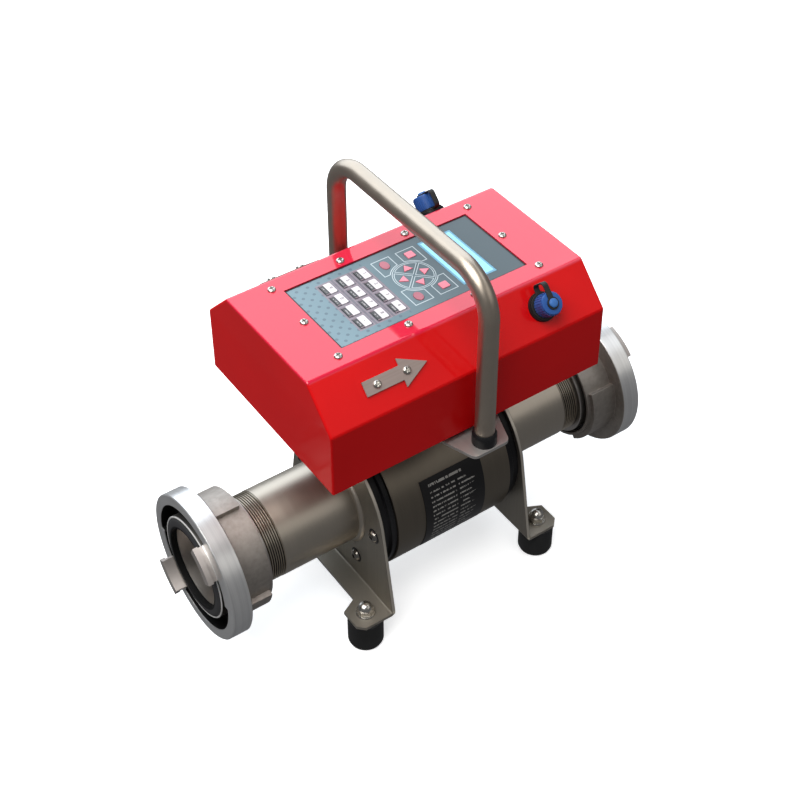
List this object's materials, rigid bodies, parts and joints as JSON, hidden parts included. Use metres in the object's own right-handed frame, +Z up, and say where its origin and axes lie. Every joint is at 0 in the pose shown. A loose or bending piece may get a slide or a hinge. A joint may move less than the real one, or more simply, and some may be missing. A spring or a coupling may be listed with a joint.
{
  "type": "electromagnetic flow meter",
  "caption": "Portable electromagnetic flow meter: lined measuring tube with swivel hose couplings, sensor drum on footed brackets, keypad housing and carry handle.",
  "frame": {"origin": "on the floor, under the middle of the meter, midway between the two coupling faces", "axes": "+X along the flow to the outlet, -Y to the front side with the nameplate, +Z up"},
  "size_m": [0.4342, 0.226, 0.372],
  "materials": {
    "satin_steel": "satin",
    "drum_steel": "satin",
    "bright_steel": "bright",
    "coupling_metal": "machined",
    "black_rubber": "matt",
    "black_plastic": "satin",
    "red_paint": "gloss",
    "panel_metal": "satin",
    "overlay_film": "satin",
    "display_glass": "gloss",
    "board_green": "satin",
    "battery_grey": "satin",
    "coil_copper": "enamelled",
    "nut_brass": "plain",
    "blue_plastic": "satin",
    "white_key": "satin",
    "pink_key": "satin",
    "red_key": "satin"
  },
  "bodies": {
    "meter": {"measuring_tube": "satin_steel", "tube_liner": "black_rubber", "sensor_housing": "drum_steel", "sensor_neck": "drum_steel", "end_rings": "black_plastic", "excitation_coils": "coil_copper", "electrodes": "bright_steel", "inlet_bracket": "satin_steel", "outlet_bracket": "satin_steel", "frame_screws": "bright_steel", "rubber_feet": "black_rubber", "foot_nuts": "bright_steel", "handle_plate": "satin_steel", "carry_handle": "satin_steel", "handle_ferrules": "black_plastic", "housing_spacers": "black_rubber", "housing_cover": "red_paint", "housing_base": "red_paint", "cover_screws": "bright_steel", "front_panel": "panel_metal", "panel_overlay": "overlay_film", "display_module": "display_glass", "keypad_board": "board_green", "main_board": "board_green", "battery_pack": "battery_grey", "flow_arrows": "bright_steel", "nameplate": "black_plastic", "inlet_tail": "coupling_metal", "outlet_tail": "coupling_metal", "hose_gaskets": "black_rubber", "snap_rings": "black_plastic", "front_connector": "black_plastic", "rear_connector": "black_plastic", "connector_nuts": "nut_brass"},
    "inlet_lug_ring": {"inlet_lug_ring": "coupling_metal"},
    "outlet_lug_ring": {"outlet_lug_ring": "coupling_metal"},
    "front_strap": {"front_strap": "black_rubber"},
    "front_cap": {"front_cap": "blue_plastic"},
    "rear_strap": {"rear_strap": "black_rubber"},
    "rear_cap": {"rear_cap": "blue_plastic"},
    "key_1": {"key_1": "white_key"},
    "key_2": {"key_2": "white_key"},
    "key_3": {"key_3": "white_key"},
    "key_4": {"key_4": "white_key"},
    "key_5": {"key_5": "white_key"},
    "key_6": {"key_6": "white_key"},
    "key_7": {"key_7": "white_key"},
    "key_8": {"key_8": "white_key"},
    "key_9": {"key_9": "white_key"},
    "key_0": {"key_0": "white_key"},
    "key_point": {"key_point": "white_key"},
    "key_sign": {"key_sign": "white_key"},
    "key_up": {"key_up": "pink_key"},
    "key_left": {"key_left": "pink_key"},
    "key_down": {"key_down": "pink_key"},
    "key_right": {"key_right": "pink_key"},
    "key_menu": {"key_menu": "pink_key"},
    "key_enter": {"key_enter": "pink_key"},
    "key_start": {"key_start": "red_key"},
    "key_stop": {"key_stop": "red_key"}
  },
  "joints": [
    {"name": "inlet_lug_ring_swivel", "type": "hinge", "parent": "meter", "child": "inlet_lug_ring", "pos_m": [0, 0, 0.104], "axis": [-1, 0, 0], "continuous": true},
    {"name": "outlet_lug_ring_swivel", "type": "hinge", "parent": "meter", "child": "outlet_lug_ring", "pos_m": [0, 0, 0.104], "axis": [1, 0, 0], "continuous": true},
    {"name": "front_strap_lift", "type": "slide", "parent": "meter", "child": "front_strap", "axis": [0, -0.7166, 0.6975], "range_m": [0, 0.006], "deforming": ["front_strap"]},
    {"name": "front_cap_turn", "type": "hinge", "parent": "front_strap", "child": "front_cap", "pos_m": [0.0765, -0.07352, 0.2897], "axis": [0, -0.7166, 0.6975], "range_deg": [-10, 370]},
    {"name": "rear_strap_lift", "type": "slide", "parent": "meter", "child": "rear_strap", "axis": [0, 0.7166, 0.6975], "range_m": [0, 0.006], "deforming": ["rear_strap"]},
    {"name": "rear_cap_turn", "type": "hinge", "parent": "rear_strap", "child": "rear_cap", "pos_m": [0.0765, 0.07352, 0.2897], "axis": [0, 0.7166, 0.6975], "range_deg": [-10, 370]},
    {"name": "key_1_press", "type": "slide", "parent": "meter", "child": "key_1", "axis": [0, 0, -1], "range_m": [0, 0.0005], "stiffness_N_per_m": 600},
    {"name": "key_2_press", "type": "slide", "parent": "meter", "child": "key_2", "axis": [0, 0, -1], "range_m": [0, 0.0005], "stiffness_N_per_m": 600},
    {"name": "key_3_press", "type": "slide", "parent": "meter", "child": "key_3", "axis": [0, 0, -1], "range_m": [0, 0.0005], "stiffness_N_per_m": 600},
    {"name": "key_4_press", "type": "slide", "parent": "meter", "child": "key_4", "axis": [0, 0, -1], "range_m": [0, 0.0005], "stiffness_N_per_m": 600},
    {"name": "key_5_press", "type": "slide", "parent": "meter", "child": "key_5", "axis": [0, 0, -1], "range_m": [0, 0.0005], "stiffness_N_per_m": 600},
    {"name": "key_6_press", "type": "slide", "parent": "meter", "child": "key_6", "axis": [0, 0, -1], "range_m": [0, 0.0005], "stiffness_N_per_m": 600},
    {"name": "key_7_press", "type": "slide", "parent": "meter", "child": "key_7", "axis": [0, 0, -1], "range_m": [0, 0.0005], "stiffness_N_per_m": 600},
    {"name": "key_8_press", "type": "slide", "parent": "meter", "child": "key_8", "axis": [0, 0, -1], "range_m": [0, 0.0005], "stiffness_N_per_m": 600},
    {"name": "key_9_press", "type": "slide", "parent": "meter", "child": "key_9", "axis": [0, 0, -1], "range_m": [0, 0.0005], "stiffness_N_per_m": 600},
    {"name": "key_0_press", "type": "slide", "parent": "meter", "child": "key_0", "axis": [0, 0, -1], "range_m": [0, 0.0005], "stiffness_N_per_m": 600},
    {"name": "key_point_press", "type": "slide", "parent": "meter", "child": "key_point", "axis": [0, 0, -1], "range_m": [0, 0.0005], "stiffness_N_per_m": 600},
    {"name": "key_sign_press", "type": "slide", "parent": "meter", "child": "key_sign", "axis": [0, 0, -1], "range_m": [0, 0.0005], "stiffness_N_per_m": 600},
    {"name": "key_up_press", "type": "slide", "parent": "meter", "child": "key_up", "axis": [0, 0, -1], "range_m": [0, 0.0005], "stiffness_N_per_m": 600},
    {"name": "key_left_press", "type": "slide", "parent": "meter", "child": "key_left", "axis": [0, 0, -1], "range_m": [0, 0.0005], "stiffness_N_per_m": 600},
    {"name": "key_down_press", "type": "slide", "parent": "meter", "child": "key_down", "axis": [0, 0, -1], "range_m": [0, 0.0005], "stiffness_N_per_m": 600},
    {"name": "key_right_press", "type": "slide", "parent": "meter", "child": "key_right", "axis": [0, 0, -1], "range_m": [0, 0.0005], "stiffness_N_per_m": 600},
    {"name": "key_menu_press", "type": "slide", "parent": "meter", "child": "key_menu", "axis": [0, 0, -1], "range_m": [0, 0.0005], "stiffness_N_per_m": 600},
    {"name": "key_enter_press", "type": "slide", "parent": "meter", "child": "key_enter", "axis": [0, 0, -1], "range_m": [0, 0.0005], "stiffness_N_per_m": 600},
    {"name": "key_start_press", "type": "slide", "parent": "meter", "child": "key_start", "axis": [0, 0, -1], "range_m": [0, 0.0005], "stiffness_N_per_m": 600},
    {"name": "key_stop_press", "type": "slide", "parent": "meter", "child": "key_stop", "axis": [0, 0, -1], "range_m": [0, 0.0005], "stiffness_N_per_m": 600}
  ],
  "couplings": [
    {"joint": "front_cap_turn", "follows": "front_strap_lift", "rad_per_m": 1047.2},
    {"joint": "rear_cap_turn", "follows": "rear_strap_lift", "rad_per_m": 1047.2}
  ]
}
